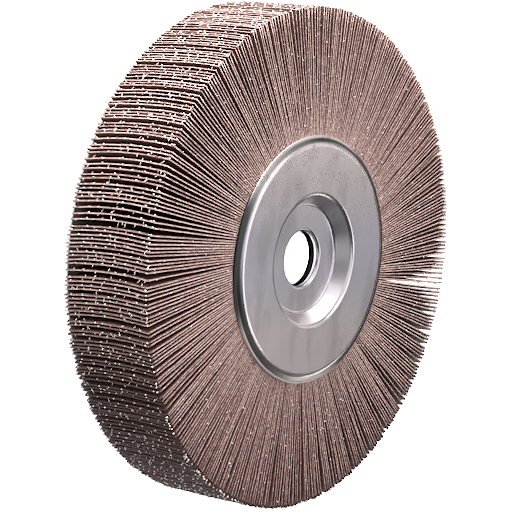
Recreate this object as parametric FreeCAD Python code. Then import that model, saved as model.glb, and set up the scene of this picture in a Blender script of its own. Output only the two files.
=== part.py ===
import FreeCAD, Part

import math
import os
import random

# Flap wheel. Sheets of abrasive cloth stand radially round a cast resin core, between two
# pressed steel flanges that a tube keeps apart. All sizes are in millimetres.
# The wheel's axis is Z, with the origin in the wheel's middle. It lies flat on its rear flange,
# which is the same pressing as the front one, turned over.

# Whole wheel
wheel_diameter = 200.0
wheel_width = 40.0
bore_diameter = 22.23

# Flaps
flap_thickness = 0.68
flap_root_radius = 44.2
flap_clearance = 0.075
bond_line = 0.3
pack_count = 45

# Each flap is curled a little across its width, in flat panels, and its front edge trails its
# rear edge.
panel_count = 3
curl = 1.2
trail = 1.0

# Lean of the flaps from the radius, in degrees: a mean, and two slow waves round the wheel
mean_lean = 6.5
once_round_lean = 1.8
once_round_peak = 310.0
wave_lean = 1.6
wave_count = 4
wave_peak = 14.0

# The free space between the tips is shared out unevenly, within runs of neighbouring flaps.
least_run_count = 5
most_run_count = 12
uneven_share = 2.8
tip_wear = 0.5
shuffle_seed = 13178

# Pressed flanges
sheet = 1.0
annulus_past_roots = 2.0
shoulder_step = 1.2
shoulder_wall_run = 2.4
shoulder_bend = 4.0
lip_width = 1.1
lip_rounding = 0.5
cone_top_radius = 26.3
cone_top_bend = 2.5
floor_radius = 21.8
recess_depth = 6.1
collar_depth = 2.2
tight_bend = 0.3
groove_bend = 0.6
floor_bend = 1.4

# Inner pieces
core_cone_clearance = 3.6
collar_clearance = 0.1
tube_wall = 1.6
counterbore_depth = 3.9

wheel_radius = wheel_diameter / 2
bore_radius = bore_diameter / 2
flap_face = wheel_width / 2
lip_top = flap_face + sheet
annulus_top = lip_top + shoulder_step
annulus_underside = annulus_top - sheet
floor_top = annulus_top - recess_depth
floor_underside = floor_top - sheet
core_radius = flap_root_radius - bond_line
shoulder_radius = flap_root_radius + annulus_past_roots
lip_foot = shoulder_radius + shoulder_wall_run
lip_radius = lip_foot + lip_width


def corner_turn(before, corner, after):
    """The unit directions into and out of a corner, as (r, z) pairs."""
    arriving = math.hypot(corner[0] - before[0], corner[1] - before[1])
    leaving = math.hypot(after[0] - corner[0], after[1] - corner[1])
    way_in = ((corner[0] - before[0]) / arriving, (corner[1] - before[1]) / arriving)
    way_out = ((after[0] - corner[0]) / leaving, (after[1] - corner[1]) / leaving)
    return way_in, way_out


def sheet_underside(path):
    """The inner corners of a bent sheet's other side, a sheet thickness to the path's right."""
    corners = []
    for before, corner, after in zip(path, path[1:], path[2:]):
        way_in, way_out = corner_turn(before, corner, after)
        shift_r = way_in[1] + way_out[1]
        shift_z = -way_in[0] - way_out[0]
        scale = sheet / (1 + way_in[0] * way_out[0] + way_in[1] * way_out[1])
        left_turn = way_in[0] * way_out[1] - way_in[1] * way_out[0] > 0
        bend = corner[2] + sheet if left_turn else corner[2] - sheet
        corners.append((corner[0] + shift_r * scale, corner[1] + shift_z * scale, bend))
    return corners


def rounded_profile(corners):
    """A closed face in the XZ plane from (r, z, rounding radius) corners."""
    edges = []
    spot = [FreeCAD.Vector(r, 0, z) for r, z, bend in corners]
    starts = []
    ends = []
    for number, (r, z, bend) in enumerate(corners):
        before = spot[number - 1] - spot[number]
        after = spot[(number + 1) % len(spot)] - spot[number]
        before.normalize()
        after.normalize()
        half_angle = before.getAngle(after) / 2
        setback = bend / math.tan(half_angle)
        starts.append(spot[number] + before * setback)
        ends.append(spot[number] + after * setback)
        if bend > 0:
            inward = before + after
            inward.normalize()
            middle = spot[number] + inward * (bend / math.sin(half_angle) - bend)
            edges.append(Part.Arc(starts[-1], middle, ends[-1]).toShape())
    for number, end in enumerate(ends):
        edges.append(Part.LineSegment(end, starts[(number + 1) % len(starts)]).toShape())
    return Part.Face(Part.Wire(Part.__sortEdges__(edges)))


def turned(corners):
    """The solid that a profile sweeps round the wheel's axis."""
    return rounded_profile(corners).revolve(FreeCAD.Vector(0, 0, 0), FreeCAD.Vector(0, 0, 1), 360)


def make_flange():
    """A dished disc: a lip on the flaps, a raised annulus, a cone, a clamping floor and a collar."""
    outside = [
        (bore_radius, floor_top - collar_depth, 0.0),
        (bore_radius, floor_top, sheet + tight_bend),
        (floor_radius, floor_top, floor_bend),
        (cone_top_radius, annulus_top, cone_top_bend),
        (shoulder_radius, annulus_top, shoulder_bend),
        (lip_foot, lip_top, groove_bend),
        (lip_radius, lip_top, lip_rounding),
    ]
    collar_end = (bore_radius + sheet, floor_top - collar_depth, 0.0)
    lip_edge = (lip_radius, flap_face, 0.0)
    underside = sheet_underside(outside)
    return turned(outside + [lip_edge] + underside[::-1] + [collar_end])


def make_tube():
    """A tube that fits the arbor in its middle, counterbored at both ends for the collars."""
    wide = bore_radius + sheet + tight_bend + collar_clearance
    step = floor_underside - counterbore_depth
    ends = [
        (wide + tube_wall, floor_underside, 0.0),
        (wide, floor_underside, 0.0),
        (wide, step, 0.0),
        (bore_radius, step, 0.0),
    ]
    return turned(ends + [(radius, -height, bend) for radius, height, bend in ends[::-1]])


def make_core():
    """A plain ring round the cones, between the flaps' roots and both annuli."""
    inner = cone_top_radius + core_cone_clearance
    ends = [(core_radius, annulus_underside, 0.0), (inner, annulus_underside, 0.0)]
    return turned(ends + [(radius, -height, bend) for radius, height, bend in ends[::-1]])


def base_lean(angle):
    """How far a flap at this angle round the wheel leans from the radius, in degrees."""
    slow = once_round_lean * math.cos(math.radians(angle - once_round_peak))
    wave = wave_lean * math.cos(math.radians(wave_count * (angle - wave_peak)))
    return mean_lean + slow + wave


def curl_offset(share):
    """A flap's offset round the wheel at a share of its width, from the rear edge to the front."""
    return curl * (2 / 3 - 4 * share * (1 - share)) - trail * (share - 0.5)


def count_flaps():
    """As many flaps as the roots have room for, with their lean and curl."""
    steepest = math.radians(mean_lean + once_round_lean + wave_lean)
    slope = math.atan2(abs(curl_offset(1 / panel_count) - curl_offset(0)), wheel_width / panel_count)
    room = 2 * math.pi * flap_root_radius * math.cos(steepest) * math.cos(slope)
    return int(room / (flap_thickness + flap_clearance))


def tip_offsets(flap_count, shuffle):
    """How far each flap's tip stands round the wheel from where an even spacing puts it."""
    tip_room = 2 * math.pi * wheel_radius / flap_count - flap_thickness - flap_clearance
    offsets = []
    while len(offsets) < flap_count:
        run = min(shuffle.randint(least_run_count, most_run_count), flap_count - len(offsets))
        weights = [1 + uneven_share * shuffle.random() ** 3 for _ in range(run)]
        offset = 0
        for weight in weights:
            offset += tip_room * (weight * run / sum(weights) - 1)
            offsets.append(offset)
    return offsets


def make_flap(root_angle, tip_offset, wear):
    """One sheet, as its curled section extruded outwards from its root."""
    length_at_lean = wheel_radius - flap_root_radius
    lean = math.radians(base_lean(root_angle)) + math.atan2(tip_offset, length_at_lean)
    root = math.radians(root_angle)
    outward = FreeCAD.Vector(math.cos(root + lean), math.sin(root + lean), 0)
    across = FreeCAD.Vector(-outward.y, outward.x, 0)
    foot = FreeCAD.Vector(flap_root_radius * math.cos(root), flap_root_radius * math.sin(root), 0)
    sideways = flap_root_radius * math.sin(lean)
    reach = wheel_radius - wear
    length = math.sqrt(reach**2 - sideways**2) - flap_root_radius * math.cos(lean)
    near_side = []
    far_side = []
    for line in range(panel_count + 1):
        share = line / panel_count
        middle = foot + across * curl_offset(share)
        middle.z = wheel_width * (share - 0.5)
        near_side.append(middle - across * (flap_thickness / 2))
        far_side.append(middle + across * (flap_thickness / 2))
    outline = near_side + far_side[::-1]
    return Part.Face(Part.makePolygon(outline + outline[:1])).extrude(outward * length)


def make_flaps():
    """All flaps in order round the wheel."""
    shuffle = random.Random(shuffle_seed)
    flap_count = count_flaps()
    offsets = tip_offsets(flap_count, shuffle)
    pitch = 360 / flap_count
    return [
        make_flap(number * pitch, offset, shuffle.uniform(0, tip_wear))
        for number, offset in enumerate(offsets)
    ]


def save(node, shape):
    shape.exportStep(f"parts/{node}.step")
    print(node, len(shape.Solids), "solids, volume", round(shape.Volume, 2))


os.makedirs("parts", exist_ok=True)

front_flange = make_flange()
rear_flange = front_flange.copy()
rear_flange.rotate(FreeCAD.Vector(0, 0, 0), FreeCAD.Vector(1, 0, 0), 180)
save("front_flange", front_flange)
save("rear_flange", rear_flange)

save("spacer_tube", make_tube())
save("resin_core", make_core())

flaps = make_flaps()
print("flaps", len(flaps))
for pack in range(pack_count):
    first = pack * len(flaps) // pack_count
    last = (pack + 1) * len(flaps) // pack_count
    save(f"flap_pack_{pack + 1:02d}", Part.makeCompound(flaps[first:last]))
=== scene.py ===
"""The looks of an abrasive flap wheel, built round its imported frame.

Every flap pack of the frame is replaced by sheets of coated cloth with a fine mesh, made from the
frame's own corners. The flanges, the tube and the core keep their frame shapes and get a finish.
"""

import math
import random
from typing import NamedTuple

import bmesh
import bpy
import numpy as np
from bpy.props import FloatProperty, FloatVectorProperty, IntProperty, PointerProperty
from mathutils import Matrix, Vector


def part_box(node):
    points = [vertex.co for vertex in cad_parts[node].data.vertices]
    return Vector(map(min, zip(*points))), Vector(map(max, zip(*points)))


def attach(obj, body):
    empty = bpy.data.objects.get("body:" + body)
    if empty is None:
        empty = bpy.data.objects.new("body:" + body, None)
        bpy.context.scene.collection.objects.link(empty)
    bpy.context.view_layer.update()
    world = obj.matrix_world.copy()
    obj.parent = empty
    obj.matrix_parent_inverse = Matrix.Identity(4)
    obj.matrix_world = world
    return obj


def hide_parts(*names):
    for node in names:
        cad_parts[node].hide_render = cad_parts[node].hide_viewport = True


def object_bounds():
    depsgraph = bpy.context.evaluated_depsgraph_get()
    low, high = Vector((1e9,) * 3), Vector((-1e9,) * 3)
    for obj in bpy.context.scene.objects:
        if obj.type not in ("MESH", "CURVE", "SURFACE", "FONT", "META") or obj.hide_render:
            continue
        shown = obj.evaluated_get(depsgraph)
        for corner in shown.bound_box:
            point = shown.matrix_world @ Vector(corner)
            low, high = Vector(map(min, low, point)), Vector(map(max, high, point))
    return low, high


bl_info = {
    "name": "Flap Wheel",
    "version": (1, 0, 0),
    "blender": (4, 5, 0),
    "location": "View3D > Sidebar > Flap Wheel",
    "description": "Dresses a flap wheel's frame with coated cloth and steel, and lights it",
    "category": "Object",
}

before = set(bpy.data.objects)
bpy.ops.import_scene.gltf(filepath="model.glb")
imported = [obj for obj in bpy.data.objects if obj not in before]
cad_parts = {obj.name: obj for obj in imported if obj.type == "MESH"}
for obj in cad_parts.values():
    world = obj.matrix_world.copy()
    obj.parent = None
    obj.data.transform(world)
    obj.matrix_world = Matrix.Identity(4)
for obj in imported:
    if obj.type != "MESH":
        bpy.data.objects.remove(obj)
CAD_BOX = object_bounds()
PACKS = sorted(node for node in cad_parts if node.startswith("flap_pack"))
LIP_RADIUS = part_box("front_flange")[1].x
FLAP_FACE = max(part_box(pack)[1].z for pack in PACKS)
BORE_RADIUS = 0.011115
FLOOR_RADIUS = 0.0218
CONE_TOP_RADIUS = 0.0263
SHOULDER_RADIUS = 0.0462
LIP_FOOT_RADIUS = 0.0486
MM = 0.001

# Zones of finish, stains, painted shade and a painted reflection tint, each as the start and the end
# of a smooth change, in metres. The first three are radii. The others run along X or along Y, and
# FAR_GROOVE runs slantwise.
TIP_ZONE = (98.4 * MM, 99.2 * MM)
GROOVE_ZONE = (SHOULDER_RADIUS, SHOULDER_RADIUS + 1.5 * MM)
LIP_ZONE = (LIP_FOOT_RADIUS - 0.3 * MM, LIP_FOOT_RADIUS + 0.4 * MM)
# Painted shade: the tips go near black towards negative Y
TIP_SHADE_Y = (-55 * MM, -8 * MM)
# Painted shade: the cloth darker towards negative Y
CLOTH_SHADE_Y = (-85 * MM, -25 * MM)
# Painted light: the cloth lighter towards negative X
CLOTH_LIGHT_X = (-85 * MM, -35 * MM)
HANDLED_STEEL_Y = (6 * MM, 34 * MM)
# Painted dark reflection: the groove near black towards negative X
DARK_REFLECTION_X = (-46 * MM, -38 * MM)
# Painted dark reflection: the groove darker towards positive Y
GROOVE_SHADE_Y = (10 * MM, 30 * MM)
# Painted shadow: the groove near black on the far side
FAR_GROOVE = (2 * MM, 14 * MM)
# Painted shadow: the lip dark towards positive X, where it meets the flaps
FAR_LIP_X = (16 * MM, 28 * MM)
# Painted reflection tint: the steel warm where Y is far from zero, cool near it
WARM_REFLECTION_Y = (6 * MM, 34 * MM)

# From one yarn of the cloth's back to the next
YARN_PITCH = 0.7 * MM


def colour_property(name, description, default):
    """A colour that a user can change, as a linear red, green and blue."""
    return FloatVectorProperty(
        name=name, description=description, default=default, subtype="COLOR", size=3, min=0.0, max=1.0
    )


def length_property(name, description, default):
    """A length in metres that a user can change."""
    return FloatProperty(
        name=name, description=description, default=default, min=0.0, unit="LENGTH", precision=5
    )


class FlapSettings(bpy.types.PropertyGroup):
    """Sizes and colours of the coated cloth."""

    grit_share: FloatProperty(
        name="Grit share",
        description="Share of a flap's thickness that is grit and its binder",
        default=0.27,
        min=0.1,
        max=0.9,
        subtype="FACTOR",
    )
    ripple: length_property("Ripple", "How far a flap's tip waves across its own thickness", 0.00010)
    twist: length_property("Twist", "How far one end of a tip may be turned from the other", 0.00012)
    uneven_tip: length_property("Uneven tip", "How far a tip's edge wanders along the radius", 0.00026)
    uneven_side: length_property("Uneven side", "How far a side edge wanders across the wheel", 0.00026)
    chipped_grit: length_property("Chipped grit", "How far the grit stays behind the cut cloth", 0.00010)
    cut_cloth: colour_property("Cut cloth", "Cut edge of the cloth", (0.87, 0.615, 0.55))
    stained_cloth: colour_property("Stained cloth", "Binder in the cut edge", (0.22, 0.115, 0.105))
    cloth_back: colour_property("Cloth back", "Back of the cloth", (0.30, 0.165, 0.14))
    grit: colour_property("Grit", "Fused grains seen face on", (0.085, 0.037, 0.032))
    cut_grit: colour_property("Cut grit", "Binder and grains at a cut edge", (0.26, 0.135, 0.12))
    grain: colour_property("Grain", "Single grains that catch the light", (0.33, 0.20, 0.17))
    # Painted shade: the near black laid on the tips towards negative Y
    tip_shade_colour: colour_property("Tip shade", "Near black painted on the negative Y side's tips as shade", (0.022, 0.012, 0.012))
    shuffle_seed: IntProperty(name="Shuffle", description="Seed of the flaps' unevenness", default=7)


class YarnSettings(bpy.types.PropertyGroup):
    """Yarn ends and loose threads that stand out of the flaps' edges."""

    ends_per_tip: IntProperty(name="Ends per tip", description="Yarn ends along a flap's tip", default=7)
    ends_per_side: IntProperty(name="Ends per side", description="Yarn ends along a side edge", default=2)
    threads: IntProperty(name="Threads", description="Loose threads on the whole wheel", default=350)
    end_thickness: length_property("End thickness", "Thickness of a frayed yarn end", 0.00088)
    thread_thickness: length_property("Thread thickness", "Thickness of a loose thread", 0.00030)
    yarn: colour_property("Yarn", "Undyed yarn", (0.97, 0.93, 0.88))
    stained_yarn: colour_property("Stained yarn", "Yarn with binder in it", (0.80, 0.60, 0.53))
    shuffle_seed: IntProperty(name="Shuffle", description="Seed of the yarns' places", default=11)


class SteelSettings(bpy.types.PropertyGroup):
    """Colours of the metal parts and the core."""

    cool_steel: colour_property("Cool steel", "Satin steel in blue light", (0.585, 0.55, 0.61))
    # Painted reflection tint: warm where Y is far from zero
    warm_steel: colour_property("Warm steel", "Satin steel in warm light", (0.65, 0.585, 0.575))
    dull_steel: colour_property("Dull steel", "Handled and spotted steel", (0.33, 0.29, 0.285))
    # Painted dark reflection and painted shadow in the groove and on the far lip
    painted_groove_shade: colour_property("Groove shade", "Painted dark reflection and shadow in the groove and on the lip", (0.028, 0.034, 0.03))
    tube_steel: colour_property("Tube steel", "Drawn steel of the tube", (0.94, 0.94, 0.94))
    # Painted shade: the dark colour of the counterbores
    counterbore_shade: colour_property("Counterbore shade", "Painted shade in the counterbores", (0.02, 0.018, 0.017))
    cast_resin: colour_property("Cast resin", "Resin of the core", (0.17, 0.10, 0.07))


class StageSettings(bpy.types.PropertyGroup):
    """Camera and light."""

    distance: FloatProperty(
        name="Distance", description="Camera to the wheel's middle", default=0.87557, unit="LENGTH"
    )
    azimuth: FloatProperty(
        name="Azimuth", description="Camera round the axis", default=math.radians(175.33), subtype="ANGLE"
    )
    elevation: FloatProperty(
        name="Elevation", description="Camera over the wheel", default=math.radians(36.416), subtype="ANGLE"
    )
    roll: FloatProperty(
        name="Roll", description="Camera round its own view", default=math.radians(98.552), subtype="ANGLE"
    )
    aim: FloatVectorProperty(
        name="Aim",
        description="Where the view meets the flaps' front face",
        default=(-0.035838, 0.001286),
        size=2,
        unit="LENGTH",
    )
    focal_length: FloatProperty(name="Focal length", description="In millimetres", default=152.85, min=1.0)
    light: FloatProperty(name="Light", description="Strength of all the soft boxes together", default=1.0)
    ambient: FloatProperty(name="Ambient", description="Strength of the light from all round", default=0.08)
    floor_glow: FloatProperty(name="Floor glow", description="Brightness of the lit floor", default=1.35)
    bore_light: FloatProperty(name="Bore light", description="Brightness under the bore", default=4.0)
    sharpening: FloatProperty(
        name="Sharpening", description="Share of a sharpened picture", default=0.09, subtype="FACTOR"
    )


def find_socket(sockets, name):
    """A node's socket by its number, its identifier or its label."""
    if isinstance(name, int):
        return sockets[name]
    return next(socket for socket in sockets if name in (socket.identifier, socket.name))


class Wire:
    """An output of a shader node. Arithmetic on it adds Math nodes and gives their output."""

    def __init__(self, shader, node, output):
        self.shader = shader
        self.node = node
        self.socket = find_socket(node.outputs, output)

    def output(self, name):
        """Another output of the same node."""
        return Wire(self.shader, self.node, name)

    def maths(self, operation, *values):
        return self.shader.add("ShaderNodeMath", {"operation": operation}, dict(enumerate(values)))

    def __add__(self, other):
        return self.maths("ADD", self, other)

    def __radd__(self, other):
        return self.maths("ADD", other, self)

    def __sub__(self, other):
        return self.maths("SUBTRACT", self, other)

    def __rsub__(self, other):
        return self.maths("SUBTRACT", other, self)

    def __mul__(self, other):
        return self.maths("MULTIPLY", self, other)

    def __rmul__(self, other):
        return self.maths("MULTIPLY", other, self)


class Shader:
    """A material, with one method that adds every node of its tree."""

    def __init__(self, name, plain_colour):
        self.material = bpy.data.materials.new(name)
        self.material.use_nodes = True
        self.material.diffuse_color = (*plain_colour, 1)
        self.tree = self.material.node_tree
        self.tree.nodes.clear()

    def add(self, kind, settings=None, values=None, output=0):
        """Adds a node of a kind, sets it up, fills or links its sockets and gives one output."""
        node = self.tree.nodes.new(kind)
        for name, setting in (settings or {}).items():
            setattr(node, name, setting)
        for name, value in (values or {}).items():
            socket = find_socket(node.inputs, name)
            if isinstance(value, Wire):
                self.tree.links.new(value.socket, socket)
            else:
                socket.default_value = value
        return Wire(self, node, output) if len(node.outputs) else None

    def object_place(self):
        """Where a point lies in the wheel, in metres."""
        return self.add("ShaderNodeTexCoord", output="Object")

    def stretched(self, vector, scale):
        return self.add("ShaderNodeVectorMath", {"operation": "MULTIPLY"}, {0: vector, 1: scale})

    def first_two(self, vector):
        """The X and the Y of a vector."""
        split = self.add("ShaderNodeSeparateXYZ", None, {"Vector": vector}, "X")
        return split, split.output("Y")

    def radius(self, place):
        """Distance of a place from the wheel's axis."""
        flat = self.stretched(place, (1, 1, 0))
        return self.add("ShaderNodeVectorMath", {"operation": "LENGTH"}, {0: flat}, "Value")

    def bearing(self, place):
        """Direction of a place from the wheel's axis."""
        flat = self.stretched(place, (1, 1, 0))
        return self.add("ShaderNodeVectorMath", {"operation": "NORMALIZE"}, {0: flat})

    def noise(self, vector, scale, detail=2.0):
        return self.add("ShaderNodeTexNoise", None, {"Vector": vector, "Scale": scale, "Detail": detail})

    def step(self, value, low, high):
        """0 below low, 1 above high and a smooth change between them."""
        return self.add(
            "ShaderNodeMapRange",
            {"interpolation_type": "SMOOTHSTEP"},
            {"Value": value, "From Min": low, "From Max": high},
        )

    def mix(self, share, first, second):
        """A colour between two, each given as a colour or an output."""
        sides = [side if isinstance(side, Wire) else (*side, 1) for side in (first, second)]
        return self.add(
            "ShaderNodeMix",
            {"data_type": "RGBA"},
            {"Factor_Float": share, "A_Color": sides[0], "B_Color": sides[1]},
            "Result_Color",
        )

    def bump(self, height, depth):
        """A normal from a height of 0 to 1, where 1 stands a depth in metres proud."""
        return self.add("ShaderNodeBump", None, {"Height": height, "Distance": depth}, "Normal")

    def surface(self, values):
        """Ends the tree in one surface shader and gives the material."""
        shader = self.add("ShaderNodeBsdfPrincipled", None, values)
        self.add("ShaderNodeOutputMaterial", None, {"Surface": shader})
        return self.material


def tip_shade_on_low_side(shader, place):
    """Painted shade: the flaps' tips darkened to near black on one side of the wheel, towards negative Y."""
    tip_shade_side = 1 - shader.step(shader.first_two(place)[1], *TIP_SHADE_Y)
    return 0.92 * tip_shade_side * shader.step(shader.radius(place), *TIP_ZONE)


def cut_cloth_material(settings):
    """Cut edge of the cloth: pale yarns side by side, with binder soaked in here and there, painted shade
    towards negative Y, painted light towards negative X, and painted shade on the tips towards negative Y.
    """
    shader = Shader("cut_cloth", settings.cut_cloth)
    cloth = shader.add("ShaderNodeUVMap", {"uv_map": "cloth"})
    place = shader.object_place()
    stain = shader.step(shader.noise(cloth, 240, 2), 0.40, 0.66)
    sheet_tone = shader.step(shader.noise(cloth, 2.3, 0), 0.44, 0.60)
    speckle = shader.step(shader.noise(place, 950, 2), 0.44, 0.60)
    x, y = shader.first_two(place)
    at_tip = shader.step(shader.radius(place), *TIP_ZONE)
    # Painted shade towards negative Y, strongest at the tips, and painted light towards negative X, away from
    # the tips
    shaded_side = 1 - shader.step(y, *CLOTH_SHADE_Y)
    lit_side = 1 - shader.step(x, *CLOTH_LIGHT_X)
    wear_and_painted_side_light = 0.26 * shaded_side * (1 + at_tip) - 0.16 * lit_side * (1 - at_tip)
    stains_and_painted_side_light = 0.48 * speckle + 0.24 * stain + 0.28 * sheet_tone + wear_and_painted_side_light
    cloth_tone = shader.mix(stains_and_painted_side_light, settings.cut_cloth, settings.stained_cloth)
    # Painted shade: the tips towards negative Y go near black
    base = shader.mix(tip_shade_on_low_side(shader, place), cloth_tone, settings.tip_shade_colour)
    return shader.surface({"Base Color": base, "Roughness": 0.85, "Normal": shader.bump(speckle, 0.00008)})


def cut_grit_material(settings):
    """Cut edge of the grit layer: dark binder with broken grains, and painted shade on the tips towards
    negative Y.
    """
    shader = Shader("cut_grit", settings.cut_grit)
    place = shader.object_place()
    grains = shader.step(shader.noise(place, 1300, 2), 0.46, 0.60)
    layer_tone = shader.mix(grains, settings.cut_grit, settings.grit)
    # Painted shade: the tips towards negative Y go near black
    base = shader.mix(tip_shade_on_low_side(shader, place), layer_tone, settings.tip_shade_colour)
    return shader.surface({"Base Color": base, "Roughness": 0.6, "Normal": shader.bump(grains, 0.0001)})


def grit_material(settings):
    """Face of the grit: packed sharp grains in a brown binder."""
    shader = Shader("grit", settings.grit)
    place = shader.object_place()
    cells = shader.add("ShaderNodeTexVoronoi", None, {"Vector": place, "Scale": 2600}, "Distance")
    patches = shader.noise(place, 160, 2)
    glint = shader.step(shader.noise(place, 3100, 1), 0.56, 0.7)
    base = shader.mix(0.25 * patches + 0.55 * glint, settings.grit, settings.grain)
    return shader.surface({"Base Color": base, "Roughness": 0.55, "Normal": shader.bump(1 - cells, 0.00015)})


def cloth_back_material(settings):
    """Back of the cloth: a plain weave under a thin size coat, with painted shade in the weave's hollows and
    a patchy tone where it is worn.
    """
    shader = Shader("cloth_back", settings.cloth_back)
    cloth = shader.add("ShaderNodeUVMap", {"uv_map": "cloth"})
    along, across = shader.first_two(cloth)
    warp = along.maths("SINE", along * (2 * math.pi / YARN_PITCH))
    weft = across.maths("SINE", across * (2 * math.pi / YARN_PITCH))
    weave = 0.5 + 0.25 * (warp + weft)
    wear_and_painted_side_light = shader.noise(cloth, 300, 3)
    dark = tuple(0.55 * part for part in settings.cloth_back)
    # Painted shade: the weave darker where its bump is low
    base = shader.mix(0.6 * weave + 0.4 * wear_and_painted_side_light, dark, settings.cloth_back)
    return shader.surface({"Base Color": base, "Roughness": 0.8, "Normal": shader.bump(weave, 0.00012)})


def yarn_material(settings):
    """Undyed yarn, a little dirty in places."""
    shader = Shader("yarn", settings.yarn)
    dirt = shader.step(shader.noise(shader.object_place(), 500, 2), 0.45, 0.75)
    base = shader.mix(dirt, settings.yarn, settings.stained_yarn)
    return shader.surface({"Base Color": base, "Roughness": 0.9, "Sheen Weight": 0.6, "Sheen Roughness": 0.5})


def satin_steel_material(settings):
    """Pressed satin steel: cloudy, spotted where it was handled, drawn marks down the cone, a painted warm
    and cool reflection tint, and painted dark reflection and shadow in the groove and on the far lip.
    """
    shader = Shader("satin_steel", settings.cool_steel)
    place = shader.object_place()
    x, y = shader.first_two(place)
    radius = shader.radius(place)
    clouds = shader.noise(place, 55, 4)
    specks = shader.add("ShaderNodeTexVoronoi", None, {"Vector": place, "Scale": 1000}, "Distance")
    clusters = shader.step(shader.noise(place, 130, 2), 0.46, 0.58)
    spots = (1 - shader.step(specks, 0.28, 0.46)) * clusters
    handled = shader.step(y, *HANDLED_STEEL_Y) * spots
    grain = shader.noise(place, 1600, 2)
    below_cone_top = 1 - shader.step(radius, CONE_TOP_RADIUS - 0.8 * MM, CONE_TOP_RADIUS)
    on_cone = shader.step(radius, FLOOR_RADIUS, FLOOR_RADIUS + MM) * below_cone_top
    drawn = on_cone * shader.noise(shader.bearing(place), 26, 3)
    # Painted dark reflection and painted shadow: the groove darkened, near black towards negative X and on
    # the far side, and the lip darkened towards positive X
    in_groove = shader.step(radius, *GROOVE_ZONE)
    on_lip = shader.step(radius, *LIP_ZONE)
    dark_reflection_side = 1 - shader.step(x, *DARK_REFLECTION_X)
    far_side = shader.step(x + 0.35 * y, *FAR_GROOVE)
    near_groove_shade = 0.45 + 0.22 * shader.step(y, *GROOVE_SHADE_Y)
    groove_shade = (1 - on_lip) * (near_groove_shade * (1 - far_side) + 0.95 * far_side)
    far_lip_shadow = 0.9 * on_lip * shader.step(x, *FAR_LIP_X)
    painted_groove_shade = in_groove * (0.95 * dark_reflection_side + (1 - dark_reflection_side) * (groove_shade + far_lip_shadow))
    # Painted reflection tint: warm where Y is far from zero, cool near it
    warm_reflection = shader.step(y.maths("ABSOLUTE", y), *WARM_REFLECTION_Y)
    tone = shader.mix(warm_reflection, settings.cool_steel, settings.warm_steel)
    smudges = shader.step(shader.noise(shader.stretched(place, (70, 28, 0)), 1.0, 3), 0.46, 0.66)
    film = shader.mix(0.75 * handled + 0.36 * smudges, tone, settings.dull_steel)
    base = shader.mix(painted_groove_shade, film, settings.painted_groove_shade)
    roughness = 0.17 + 0.12 * clouds + 0.15 * handled + 0.1 * in_groove + 0.12 * on_cone
    height = 0.05 * grain + drawn
    return shader.surface(
        {"Base Color": base, "Metallic": 1.0, "Roughness": roughness, "Normal": shader.bump(height, 0.000012)}
    )


def drawn_steel_material(settings):
    """Bright drawn steel of the tube, with fine lines round it and painted shade in the counterbores, dark
    and not metal.
    """
    shader = Shader("drawn_steel", settings.tube_steel)
    place = shader.object_place()
    rings = shader.noise(shader.stretched(place, (60, 60, 2500)), 1.0, 2)
    # Painted shade: the counterbores go dark and not metal
    counterbore_shade_share = shader.step(shader.radius(place), BORE_RADIUS + 0.2 * MM, BORE_RADIUS + 0.5 * MM)
    return shader.surface(
        {
            "Base Color": shader.mix(counterbore_shade_share, settings.tube_steel, settings.counterbore_shade),
            "Metallic": 1 - counterbore_shade_share,
            "Roughness": 0.2 + 0.1 * rings + 0.3 * counterbore_shade_share,
            "Normal": shader.bump(rings, 0.000004),
        }
    )


def cast_resin_material(settings):
    """Cast resin of the core, with a few small voids."""
    shader = Shader("cast_resin", settings.cast_resin)
    place = shader.object_place()
    clouds = shader.noise(place, 120, 3)
    voids = shader.step(shader.noise(place, 900, 1), 0.62, 0.7)
    dark = tuple(0.6 * part for part in settings.cast_resin)
    base = shader.mix(clouds, settings.cast_resin, dark)
    return shader.surface(
        {"Base Color": base, "Roughness": 0.45 + 0.2 * clouds, "Normal": shader.bump(1 - voids, 0.0002)}
    )


SAME_LEVEL = 0.1 * MM
SAME_POINT = 0.01 * MM


class Flap:
    """One sheet of a pack, as the frame gives it: its root curve, direction and thickness."""

    def __init__(self, corners):
        stations = []
        for height in sorted({round(z, 5) for z in corners[:, 2]}):
            level = corners[np.abs(corners[:, 2] - height) < SAME_LEVEL]
            level = level[np.argsort(np.hypot(level[:, 0], level[:, 1]))]
            stations.append((height, level[:2].mean(axis=0), level[2:].mean(axis=0)))
        heights = np.array([height for height, root, tip in stations])
        roots = np.array([root for height, root, tip in stations])
        tips = np.array([tip for height, root, tip in stations])
        self.outward = (tips - roots).mean(axis=0)
        self.length = float(np.linalg.norm(self.outward))
        self.outward /= self.length
        self.across = np.cross((0, 0, 1), self.outward)
        lowest = corners[np.abs(corners[:, 2] - heights[0]) < SAME_LEVEL]
        from_middle = np.abs(lowest @ self.across - roots[0] @ self.across)
        self.thickness = 2 * float(from_middle.mean())
        self.low = heights[0]
        self.high = heights[-1]
        self.bow = [np.polyfit(heights, roots[:, axis], 2) for axis in (0, 1)]
        self.angle = math.atan2(roots[0][1], roots[0][0])

    def root(self, heights):
        """Points of the root's middle line at these heights."""
        x, y = (np.polyval(bow, heights) for bow in self.bow)
        return np.stack([x, y, heights], axis=-1)


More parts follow.
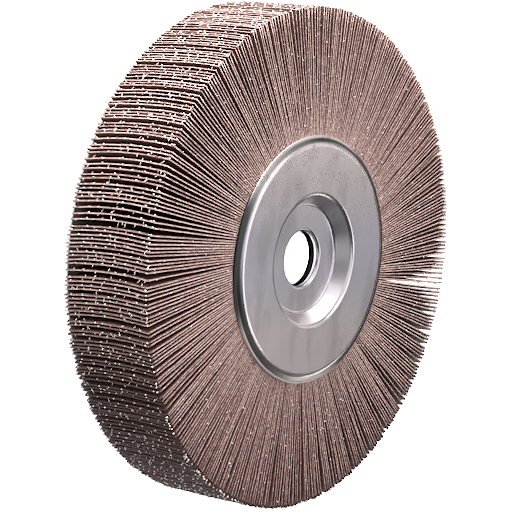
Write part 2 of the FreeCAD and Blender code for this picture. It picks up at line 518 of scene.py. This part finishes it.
def read_flaps(pack):
    """The sheets of a pack, in order round the wheel."""
    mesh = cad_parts[pack].data
    places = np.array([vertex.co for vertex in mesh.vertices], float)
    keys = [tuple(np.round(place / SAME_POINT).astype(int)) for place in places]
    names = {key: number for number, key in enumerate(dict.fromkeys(keys))}
    corner = [names[key] for key in keys]
    points = np.zeros((len(names), 3))
    points[corner] = places
    group = list(range(len(points)))

    def leader(member):
        while group[member] != member:
            member = group[member]
        return member

    for edge in mesh.edges:
        first, second = (leader(corner[vertex]) for vertex in edge.vertices)
        group[second] = first
    leaders = np.array([leader(member) for member in range(len(points))])
    flaps = [Flap(points[leaders == one]) for one in sorted(set(leaders))]
    middle = Vector(points.mean(axis=0)).to_2d()

    def turn(flap):
        return middle.angle_signed(Vector((math.cos(flap.angle), math.sin(flap.angle))))

    return sorted(flaps, key=turn)


# A sheet's grid has steps along it, from root to tip, and across the wheel's width.
ALONG = 10
ACROSS = 14
GRIT, CLOTH_BACK, CUT_GRIT, CUT_CLOTH = range(4)

# Distances from a flap's root where its side edges begin to wander and where they do so fully
UNEVEN_FROM = LIP_RADIUS - 0.042
UNEVEN_FULLY = LIP_RADIUS - 0.034

# Length of a flap on the cloth, and how far apart two flaps are cut from it
CLOTH_LENGTH = 0.056
CUT_SHIFT = np.array((0.31, 0.17))


def sheet_rim():
    """Grid places round a sheet's edge, in order."""
    bottom = [(step, 0) for step in range(ALONG)]
    tip = [(ALONG, step) for step in range(ACROSS)]
    top = [(step, ACROSS) for step in range(ALONG, 0, -1)]
    root = [(0, step) for step in range(ACROSS, 0, -1)]
    return bottom + tip + top + root


def sheet_faces():
    """Corner numbers and material numbers of one sheet's faces."""
    row = ACROSS + 1
    side = (ALONG + 1) * row
    rim = [along * row + across for along, across in sheet_rim()]
    faces = []
    for along in range(ALONG):
        for across in range(ACROSS):
            first = along * row + across
            quad = [first, first + row, first + row + 1, first + 1]
            faces.append((quad, GRIT))
            faces.append(([side + corner for corner in quad[::-1]], CLOTH_BACK))
    for number, corner in enumerate(rim):
        after = (number + 1) % len(rim)
        seam = 2 * side + number
        next_seam = 2 * side + after
        faces.append(([rim[after], corner, seam, next_seam], CUT_GRIT))
        faces.append(([next_seam, seam, side + corner, side + rim[after]], CUT_CLOTH))
    return faces


def slow_wave(shuffle, steps, turns):
    """A smooth unevenness of about -1 to 1 over an edge."""
    wave = np.zeros_like(steps)
    for number, turn in enumerate(turns):
        wave += math.cos(number) * np.sin(2 * math.pi * (turn * steps + shuffle.random()))
    return wave / len(turns)


def smooth_rise(value, low, high):
    """0 below low and 1 above high, smoothly."""
    share = np.clip((value - low) / (high - low), 0, 1)
    return share * share * (3 - 2 * share)


def sheet_points(flap, settings, shuffle):
    """Corners of one sheet: its grit side, its cloth side and the seam between them round the edge."""
    along = np.linspace(0, 1, ALONG + 1)[:, None] * np.ones((1, ACROSS + 1))
    across = np.linspace(0, 1, ACROSS + 1)[None, :] * np.ones((ALONG + 1, 1))
    reach = smooth_rise(along * flap.length, UNEVEN_FROM, UNEVEN_FULLY)
    low_wave = slow_wave(shuffle, along[:, :1], (1.7, 4.3)) + shuffle.uniform(-0.6, 0.6)
    high_wave = slow_wave(shuffle, along[:, :1], (1.7, 4.3)) + shuffle.uniform(-0.6, 0.6)
    side_wave = (low_wave * (1 - across) + high_wave * across) * reach
    heights = flap.low + (flap.high - flap.low) * across + settings.uneven_side * side_wave
    tip_wave = slow_wave(shuffle, across[:1], (1.3, 3.1, 6.7)) * np.ones_like(across)
    lengths = flap.length * along + settings.uneven_tip * (1 + tip_wave) * along**6
    ripple = slow_wave(shuffle, across[:1], (0.9, 2.3)) * along**1.6 * settings.ripple
    twist = shuffle.uniform(-1, 1) * (across - 0.5) * along * settings.twist
    middle = flap.root(heights) + flap.outward * lengths[..., None]
    middle += flap.across * (ripple + twist)[..., None]
    half = flap.across * (flap.thickness / 2)
    cloth = middle + half
    grit = middle - half
    seam = grit + flap.across * (flap.thickness * settings.grit_share)
    chip = settings.chipped_grit
    edge_pull = np.zeros_like(grit)
    edge_pull[-1] -= flap.outward * chip
    edge_pull[:, 0, 2] += chip * reach[:, 0]
    edge_pull[:, -1, 2] -= chip * reach[:, -1]
    grit = grit + edge_pull
    seam_rim = np.array([seam[place] for place in sheet_rim()])
    return np.concatenate([grit.reshape(-1, 3), cloth.reshape(-1, 3), seam_rim])


def sheet_uv(number):
    """Flat places on the cloth in metres for each corner, with every sheet cut from another spot."""
    grid = [(along, across) for along in range(ALONG + 1) for across in range(ACROSS + 1)]
    places = np.array(grid + grid + sheet_rim(), float)
    places *= (CLOTH_LENGTH / ALONG, 2 * FLAP_FACE / ACROSS)
    return places + number * CUT_SHIFT


def new_piece(name, points, faces, materials, uv=None):
    """A mesh object from its points and its faces with their material numbers."""
    mesh = bpy.data.meshes.new(name)
    mesh.from_pydata([tuple(point) for point in points], [], [corners for corners, material in faces])
    mesh.polygons.foreach_set("material_index", [material for corners, material in faces])
    mesh.polygons.foreach_set("use_smooth", [True] * len(faces))
    for material in materials:
        mesh.materials.append(material)
    if uv is not None:
        corner_of_loop = np.zeros(len(mesh.loops), int)
        mesh.loops.foreach_get("vertex_index", corner_of_loop)
        mesh.uv_layers.new(name="cloth").data.foreach_set("uv", np.asarray(uv)[corner_of_loop].ravel())
    mesh.validate()
    piece = bpy.data.objects.new(name, mesh)
    bpy.context.scene.collection.objects.link(piece)
    return piece


def sharpen_rims(mesh):
    """Keeps the cut edges crisp, by marking every edge between two materials as sharp."""
    index = np.zeros(len(mesh.polygons), int)
    mesh.polygons.foreach_get("material_index", index)
    seen = {}
    for face in mesh.polygons:
        for key in face.edge_keys:
            seen.setdefault(key, []).append(index[face.index])
    sharp = [len(set(seen[edge.key])) > 1 for edge in mesh.edges]
    mesh.attributes.new("sharp_edge", "BOOLEAN", "EDGE").data.foreach_set("value", sharp)


class FLAPWHEEL_OT_flaps(bpy.types.Operator):
    """Replace every flap pack by fine sheets of coated cloth"""

    bl_idname = "flapwheel.flaps"
    bl_label = "Flaps"

    def execute(self, context):
        settings = context.scene.flapwheel_flaps
        shuffle = random.Random(settings.shuffle_seed)
        materials = [
            grit_material(settings),
            cloth_back_material(settings),
            cut_grit_material(settings),
            cut_cloth_material(settings),
        ]
        pattern = sheet_faces()
        corner_count = max(max(corners) for corners, material in pattern) + 1
        number = 0
        for pack in PACKS:
            points, faces, uv = [], [], []
            for flap in read_flaps(pack):
                start = len(points) * corner_count
                points.append(sheet_points(flap, settings, shuffle))
                uv.append(sheet_uv(number))
                faces += [([start + corner for corner in corners], side) for corners, side in pattern]
                number += 1
            name = pack.replace("flap_pack", "flaps")
            piece = new_piece(name, np.concatenate(points), faces, materials, np.concatenate(uv))
            sharpen_rims(piece.data)
            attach(piece, "root")
            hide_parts(pack)
        return {"FINISHED"}


UPRIGHT = np.array((0.0, 0.0, 1.0))

# Share of a flap's length under the flange, share of yarn ends that lean over to the next flap, and
# share of corners with a tuft
HIDDEN_SHARE = 0.12
BRIDGE_SHARE = 0.3
CORNER_SHARE = 0.6

# How deep a yarn starts inside a tip, inside a side edge, and how far from a corner
TIP_SINK = 0.1 * MM
SIDE_SINK = 0.2 * MM
CORNER_INSET = 0.3 * MM


class Strands:
    """Gathers short round threads into one mesh."""

    SIDES = 5
    END_TAPER = 0.6
    SLANT = (0.31, 0.52, 0.79)

    def __init__(self):
        self.points = []
        self.faces = []

    def add(self, path, thickness):
        """Adds a thread along a path of points, thinner at both ends and closed."""
        path = np.asarray(path, float)
        count = len(path)
        start = len(self.points)
        steps = np.gradient(path, axis=0)
        for number, (place, step) in enumerate(zip(path, steps)):
            step = step / np.linalg.norm(step)
            sideways = np.cross(step, self.SLANT)
            sideways /= np.linalg.norm(sideways)
            upwards = np.cross(step, sideways)
            radius = thickness / 2 * (self.END_TAPER if number in (0, count - 1) else 1.0)
            for side in range(self.SIDES):
                turn = 2 * math.pi * side / self.SIDES
                self.points.append(place + radius * (math.cos(turn) * sideways + math.sin(turn) * upwards))
        for ring in range(count - 1):
            for side in range(self.SIDES):
                after = (side + 1) % self.SIDES
                low = start + ring * self.SIDES
                high = low + self.SIDES
                self.faces.append(([low + side, low + after, high + after, high + side], 0))
        first_ring = [start + side for side in range(self.SIDES)]
        last_ring = [start + (count - 1) * self.SIDES + side for side in range(self.SIDES)]
        self.faces.append((first_ring[::-1], 0))
        self.faces.append((last_ring, 0))


def curved_path(start, direction, bend, length, steps):
    """Points of a thread that sets off one way and bends another."""
    shares = np.linspace(0, 1, steps)[:, None]
    return start + direction * (length * shares) + bend * (length * shares**2)


def unit(vector):
    """The same direction with a length of one."""
    return vector / np.linalg.norm(vector)


def add_bridge(strands, flap, height, settings, shuffle):
    """A yarn end that leans from a tip over to the next flap."""
    start = flap.root(np.array(height)) + flap.outward * (flap.length - TIP_SINK)
    start = start + flap.across * (flap.thickness * shuffle.uniform(-0.3, 0.3))
    slant = UPRIGHT * shuffle.uniform(0.0, 1.1) - flap.across
    direction = unit(flap.outward * shuffle.uniform(0.15, 0.35) + shuffle.choice((-1, 1)) * slant)
    length = shuffle.uniform(1.0, 1.8) * MM
    thickness = settings.end_thickness * shuffle.uniform(0.45, 0.65)
    strands.add(curved_path(start, direction, UPRIGHT * 0.2, length, 3), thickness)


def add_knob(strands, flap, height, settings, shuffle):
    """A short tuft of yarn that stands out of a tip."""
    start = flap.root(np.array(height)) + flap.outward * (flap.length - TIP_SINK)
    start = start - flap.across * (flap.thickness * shuffle.uniform(-0.1, 0.35))
    aside = UPRIGHT * shuffle.uniform(-0.5, 0.7) - flap.across * shuffle.uniform(0.0, 0.6)
    direction = unit(flap.outward * shuffle.uniform(0.6, 1.0) + aside)
    length = shuffle.uniform(0.5, 0.9) * MM
    thickness = settings.end_thickness * shuffle.uniform(0.8, 1.15)
    strands.add(curved_path(start, direction, UPRIGHT * 0.1, length, 3), thickness)


def add_tip_ends(strands, flap, settings, shuffle):
    """Frayed yarn ends along a flap's tip and at its two corners."""
    width = flap.high - flap.low
    for end in range(settings.ends_per_tip):
        height = flap.low + width * (end + shuffle.uniform(0.05, 0.95)) / settings.ends_per_tip
        add_end = add_bridge if shuffle.random() < BRIDGE_SHARE else add_knob
        add_end(strands, flap, height, settings, shuffle)
    for corner in (flap.low + CORNER_INSET, flap.high - CORNER_INSET):
        if shuffle.random() < CORNER_SHARE:
            add_knob(strands, flap, corner, settings, shuffle)


def add_side_ends(strands, flap, settings, shuffle):
    """Short yarn ends along both side edges of a flap, outside the flanges."""
    for side, height in ((-1, flap.low), (1, flap.high)):
        for end in range(settings.ends_per_side):
            share = (end + shuffle.uniform(0, 1)) / settings.ends_per_side
            along = flap.length * (1 - (1 - HIDDEN_SHARE) * share**0.8)
            start = flap.root(np.array(height - side * SIDE_SINK)) + flap.outward * along
            start = start + flap.across * (flap.thickness * shuffle.uniform(0, 0.35))
            aside = flap.across * shuffle.uniform(-0.9, 0.9) + flap.outward * shuffle.uniform(-0.9, 0.9)
            direction = unit(UPRIGHT * (0.6 * side) + aside)
            length = shuffle.uniform(0.4, 0.9) * MM
            path = curved_path(start, direction, direction * 0, length, 3)
            strands.add(path, settings.end_thickness * 0.45)


def add_thread(strands, flap, settings, shuffle):
    """A loose thread that lies from a tip over to the next one."""
    height = shuffle.uniform(flap.low, flap.high)
    start = flap.root(np.array(height)) + flap.outward * (flap.length - TIP_SINK)
    direction = flap.outward * shuffle.uniform(0.05, 0.35) + flap.across * shuffle.choice((-1, 1))
    direction = unit(direction + UPRIGHT * shuffle.uniform(-0.8, 0.8))
    bend = np.array([shuffle.uniform(-0.4, 0.4) for axis in range(3)])
    length = shuffle.triangular(1.0, 2.6, 1.4) * MM
    thickness = settings.thread_thickness * shuffle.uniform(0.8, 1.3)
    strands.add(curved_path(start, direction, bend, length, 5), thickness)


class FLAPWHEEL_OT_yarns(bpy.types.Operator):
    """Add the yarn ends and loose threads of the cut cloth"""

    bl_idname = "flapwheel.yarns"
    bl_label = "Loose Yarns"

    def execute(self, context):
        settings = context.scene.flapwheel_yarns
        shuffle = random.Random(settings.shuffle_seed)
        flaps = [flap for pack in PACKS for flap in read_flaps(pack)]
        tip_ends, side_ends, threads = Strands(), Strands(), Strands()
        for flap in flaps:
            add_tip_ends(tip_ends, flap, settings, shuffle)
            add_side_ends(side_ends, flap, settings, shuffle)
        for thread in range(settings.threads):
            add_thread(threads, shuffle.choice(flaps), settings, shuffle)
        material = yarn_material(settings)
        pieces = {"tip_yarns": tip_ends, "side_yarns": side_ends, "loose_threads": threads}
        for name, strands in pieces.items():
            piece = new_piece(name, strands.points, strands.faces, [material])
            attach(piece, "root")
        return {"FINISHED"}


def finish_node(node, material):
    """Gives a frame node a material in all its slots."""
    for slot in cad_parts[node].material_slots:
        slot.material = material


class FLAPWHEEL_OT_metal(bpy.types.Operator):
    """Give the flanges, the tube and the core their finish"""

    bl_idname = "flapwheel.metal"
    bl_label = "Metal and Core"

    def execute(self, context):
        settings = context.scene.flapwheel_steel
        steel = satin_steel_material(settings)
        finish_node("front_flange", steel)
        finish_node("rear_flange", steel)
        finish_node("spacer_tube", drawn_steel_material(settings))
        finish_node("resin_core", cast_resin_material(settings))
        return {"FINISHED"}


def stage_material(name, glow, diffuse, lit=None):
    """White that glows, all over or through a painted mask of light and shadow, and takes a little shadow."""
    shader = Shader(name, (1, 1, 1))
    return shader.surface(
        {
            "Base Color": (diffuse, diffuse, diffuse, 1),
            "Roughness": 1.0,
            "Specular IOR Level": 0.0,
            "Emission Color": lit(shader) if lit else (1, 1, 1, 1),
            "Emission Strength": glow,
        }
    )


def painted_shadow_under_wheel(shader):
    """Painted shadow: black under the flaps, white beyond them and under the bore."""
    radius = shader.radius(shader.object_place())
    lit = shader.step(radius, *SHADE_EDGE) + 1 - shader.step(radius, BORE_RADIUS, CONE_TOP_RADIUS)
    return shader.mix(lit, (0, 0, 0), (1, 1, 1))


def add_floor(half, height, glow):
    """A white slab that the wheel lies on, with a painted shadow of the wheel on top and plain below."""
    square = [(-half, -half), (half, -half), (half, half), (-half, half)]
    corners = [(x, y, level) for level in (height, height - MM) for x, y in square]
    top = stage_material("floor", glow, 0.15, painted_shadow_under_wheel)
    underside = stage_material("underside", 1.0, 0.0)
    floor = new_piece("floor", corners, [([0, 1, 2, 3], 0), ([7, 6, 5, 4], 1)], [top, underside])
    floor.visible_diffuse = False


def add_backdrop(radius):
    """A white tent round everything, which only the camera sees."""
    mesh = bpy.data.meshes.new("backdrop")
    shell = bmesh.new()
    bmesh.ops.create_icosphere(shell, subdivisions=4, radius=radius)
    shell.to_mesh(mesh)
    shell.free()
    mesh.materials.append(stage_material("backdrop", 1.0, 0.0))
    backdrop = bpy.data.objects.new("backdrop", mesh)
    backdrop.visible_diffuse = False
    backdrop.visible_glossy = False
    backdrop.visible_transmission = False
    backdrop.visible_shadow = False
    bpy.context.scene.collection.objects.link(backdrop)


class SoftBox(NamedTuple):
    """A soft box: where it stands round the wheel, in degrees, its size in metres and its brightness."""

    name: str
    azimuth: float
    elevation: float
    width: float
    height: float
    brightness: float


FLOOR_HALF = 3.0
SHADE_EDGE = (0.0955, 0.0972)
BORE_LIGHT_WIDTH = 0.03
BORE_LIGHT_LIFT = 0.2 * MM
AMBIENT_COLOUR = (0.95, 0.95, 1.0, 1)
SENSOR_WIDTH = 36.0
BACKDROP_RADIUS = 2.9
SOFT_BOX_DISTANCE = 0.95
SOFT_BOXES = (
    SoftBox("key", 102, 5.5, 1.10, 0.24, 24.5),
    SoftBox("key_top", 86, 20, 1.10, 0.24, 4.4),
    SoftBox("rim_light", 138, 9, 0.35, 0.28, 6.5),
    SoftBox("overhead", 118, 72, 1.00, 1.00, 1.25),
    SoftBox("cone_panel", 126, 31, 0.22, 0.20, 3.2),
    SoftBox("cone_low_panel", 52, 4, 0.34, 0.16, 2.4),
    SoftBox("far_strip", 30, 12, 0.80, 0.10, 2.5),
    SoftBox("grey_panel", -4, 33, 0.34, 0.34, 0.44),
    SoftBox("bright_panel", 22, 34, 0.50, 0.30, 1.1),
    SoftBox("white_strip", 14, 58, 0.95, 0.30, 2.1),
    SoftBox("low_strip", -34, 15, 0.50, 0.20, 2.5),
    SoftBox("upper_panel", 65, 55, 0.45, 0.35, 1.0),
    SoftBox("fill", 263, 12, 0.90, 0.35, 0.28),
    SoftBox("low_fill", 224, 4, 0.60, 0.14, 11.5),
    SoftBox("camera_side", 200, 30, 0.75, 0.50, 0.72),
)


def round_the_wheel(distance, azimuth, elevation):
    """A place at a distance from the wheel's middle, for angles in radians."""
    flat = math.cos(elevation)
    return distance * Vector((flat * math.cos(azimuth), flat * math.sin(azimuth), math.sin(elevation)))


def add_soft_box(box, strength):
    """An area light aimed at the wheel's middle, as bright as its box says."""
    light = bpy.data.lights.new(box.name, "AREA")
    light.shape = "RECTANGLE"
    light.size = box.width
    light.size_y = box.height
    light.energy = strength * math.pi * box.width * box.height * box.brightness
    lamp = bpy.data.objects.new(box.name, light)
    lamp.location = round_the_wheel(SOFT_BOX_DISTANCE, math.radians(box.azimuth), math.radians(box.elevation))
    lamp.rotation_euler = (-lamp.location).to_track_quat("-Z", "Y").to_euler()
    lamp.visible_camera = False
    bpy.context.scene.collection.objects.link(lamp)


def add_bore_light(brightness):
    """A small light under the bore, so that the tube is as white inside as the floor is outside."""
    light = bpy.data.lights.new("bore_light", "AREA")
    light.shape = "DISK"
    light.size = BORE_LIGHT_WIDTH
    light.energy = math.pi * math.pi * (BORE_LIGHT_WIDTH / 2) ** 2 * brightness
    lamp = bpy.data.objects.new("bore_light", light)
    lamp.location = (0, 0, CAD_BOX[0].z + BORE_LIGHT_LIFT)
    lamp.rotation_euler = (math.pi, 0, 0)
    bpy.context.scene.collection.objects.link(lamp)


def sharpen_picture(scene, amount):
    """Mixes a sharpened picture into the rendered one."""
    scene.use_nodes = True
    tree = scene.node_tree
    tree.nodes.clear()
    layers = tree.nodes.new("CompositorNodeRLayers")
    sharpened = tree.nodes.new("CompositorNodeFilter")
    sharpened.filter_type = "SHARPEN_DIAMOND"
    sharpened.inputs["Fac"].default_value = amount
    picture = tree.nodes.new("CompositorNodeComposite")
    tree.links.new(layers.outputs["Image"], sharpened.inputs["Image"])
    tree.links.new(sharpened.outputs["Image"], picture.inputs["Image"])


def add_camera(settings):
    """A long lens, with the image's upward side rolled round the view."""
    place = round_the_wheel(settings.distance, settings.azimuth, settings.elevation)
    aim = Vector((*settings.aim, FLAP_FACE))
    camera = bpy.data.cameras.new("camera")
    camera.lens = settings.focal_length
    camera.sensor_width = SENSOR_WIDTH
    holder = bpy.data.objects.new("camera", camera)
    level = (aim - place).to_track_quat("-Z", "Y").to_matrix()
    rolled = level @ Matrix.Rotation(settings.roll, 3, "Z")
    holder.matrix_world = Matrix.Translation(place) @ rolled.to_4x4()
    bpy.context.scene.collection.objects.link(holder)
    bpy.context.scene.camera = holder


class FLAPWHEEL_OT_stage(bpy.types.Operator):
    """Add the floor, the lights and the camera"""

    bl_idname = "flapwheel.stage"
    bl_label = "Stage"

    def execute(self, context):
        settings = context.scene.flapwheel_stage
        scene = context.scene
        scene.view_settings.view_transform = "Standard"
        add_floor(FLOOR_HALF, CAD_BOX[0].z, settings.floor_glow)
        add_backdrop(BACKDROP_RADIUS)
        for box in SOFT_BOXES:
            add_soft_box(box, settings.light)
        add_bore_light(settings.bore_light)
        world = bpy.data.worlds.new("studio")
        world.use_nodes = True
        background = world.node_tree.nodes["Background"]
        background.inputs["Color"].default_value = AMBIENT_COLOUR
        background.inputs["Strength"].default_value = settings.ambient
        scene.world = world
        add_camera(settings)
        sharpen_picture(scene, settings.sharpening)
        return {"FINISHED"}


class FLAPWHEEL_PT_panel(bpy.types.Panel):
    """Lists the steps that dress the wheel"""

    bl_label = "Flap Wheel"
    bl_idname = "FLAPWHEEL_PT_panel"
    bl_space_type = "VIEW_3D"
    bl_region_type = "UI"
    bl_category = "Flap Wheel"

    def draw(self, context):
        for step in STEPS:
            self.layout.operator(step.bl_idname)


STEPS = (FLAPWHEEL_OT_flaps, FLAPWHEEL_OT_yarns, FLAPWHEEL_OT_metal, FLAPWHEEL_OT_stage)
SETTINGS = {
    "flapwheel_flaps": FlapSettings,
    "flapwheel_yarns": YarnSettings,
    "flapwheel_steel": SteelSettings,
    "flapwheel_stage": StageSettings,
}


def register():
    for one in (*SETTINGS.values(), *STEPS, FLAPWHEEL_PT_panel):
        bpy.utils.register_class(one)
    for name, group in SETTINGS.items():
        setattr(bpy.types.Scene, name, PointerProperty(type=group))


def unregister():
    for name in SETTINGS:
        delattr(bpy.types.Scene, name)
    for one in (FLAPWHEEL_PT_panel, *STEPS[::-1], *SETTINGS.values()):
        bpy.utils.unregister_class(one)


def main():
    register()
    bpy.ops.flapwheel.flaps()
    bpy.ops.flapwheel.yarns()
    bpy.ops.flapwheel.metal()
    bpy.ops.flapwheel.stage()


if __name__ == "__main__":
    main()
